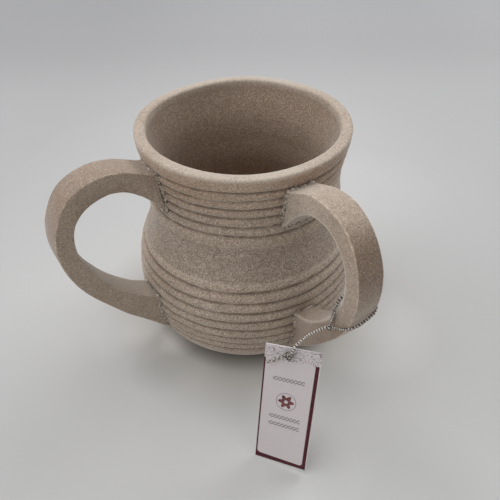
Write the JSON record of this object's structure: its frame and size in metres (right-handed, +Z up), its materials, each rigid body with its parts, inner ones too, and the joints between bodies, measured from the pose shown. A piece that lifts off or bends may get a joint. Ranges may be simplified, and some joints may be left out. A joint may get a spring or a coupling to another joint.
{
  "type": "two-handled washing cup",
  "caption": "Ribbed stone-look washing cup with two glued-on loop handles set at about a right angle, and a small card tag tied to one handle with metallic string.",
  "frame": {"origin": "centre of the cup's flat base, on the surface that it stands on", "axes": "+Z up through the mouth, +X towards the handle that carries the tag; the other handle points 85 degrees from +X, near -Y"},
  "size_m": [0.1845, 0.1717, 0.1274],
  "materials": {
    "stone": "matte, fine sand speckle",
    "adhesive": "rough, with bright grains",
    "card": "smooth printed card",
    "metallic_string": "twisted metallic thread"
  },
  "bodies": {
    "cup": {"cup_body": "stone", "handle_right": "stone", "handle_left": "stone", "adhesive_right_top": "adhesive", "adhesive_right_bottom": "adhesive", "adhesive_left_top": "adhesive", "adhesive_left_bottom": "adhesive", "tag_string": "metallic_string"},
    "tag": {"hang_tag": "card", "string_knot": "metallic_string", "string_tail": "metallic_string"}
  },
  "joints": [
    {"name": "tag_swing", "type": "hinge", "parent": "cup", "child": "tag", "pos_m": [0.0952, -0.0296, 0.0623], "axis": [-0.6871, -0.7266, 0], "range_deg": [0, 70]}
  ]
}
